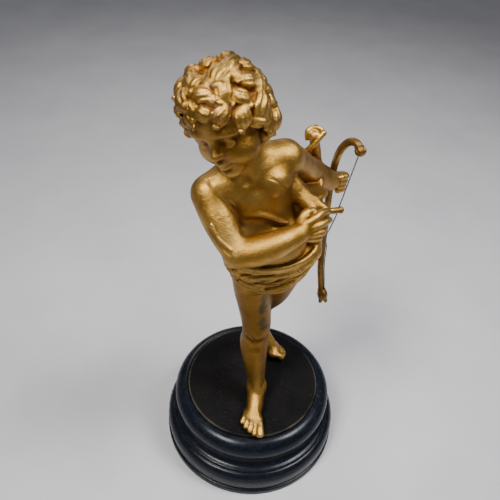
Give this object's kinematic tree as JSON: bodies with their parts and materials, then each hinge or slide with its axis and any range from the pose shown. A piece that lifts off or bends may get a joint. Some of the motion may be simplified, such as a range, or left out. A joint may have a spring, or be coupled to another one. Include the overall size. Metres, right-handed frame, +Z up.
{
  "type": "cupid statue",
  "caption": "Gilt cast cupid in mid-step with a cloth around the hips, drawing a small bow, on a round black plate and a turned ebonised wood socle.",
  "frame": {"origin": "centre of the socle's flat underside", "axes": "+Z up, the figure steps and faces toward -Y, its left side is at +X"},
  "size_m": [0.1078, 0.11, 0.2512],
  "materials": {
    "gilt": "worn gilding, satin, with brown and green patina in the hollows",
    "gilt_rod": "worn gilding, duller and browner than the figure",
    "wire": "dark and dull",
    "plate": "matt brown-black, worn light at the rim",
    "ebonised": "ebonised and polished, glossy blue-black"
  },
  "bodies": {
    "root": {"cupid_figure": "gilt", "bow": "gilt_rod", "arrow": "gilt_rod", "bowstring": "wire", "top_plate": "plate", "socle": "ebonised"}
  },
  "joints": []
}
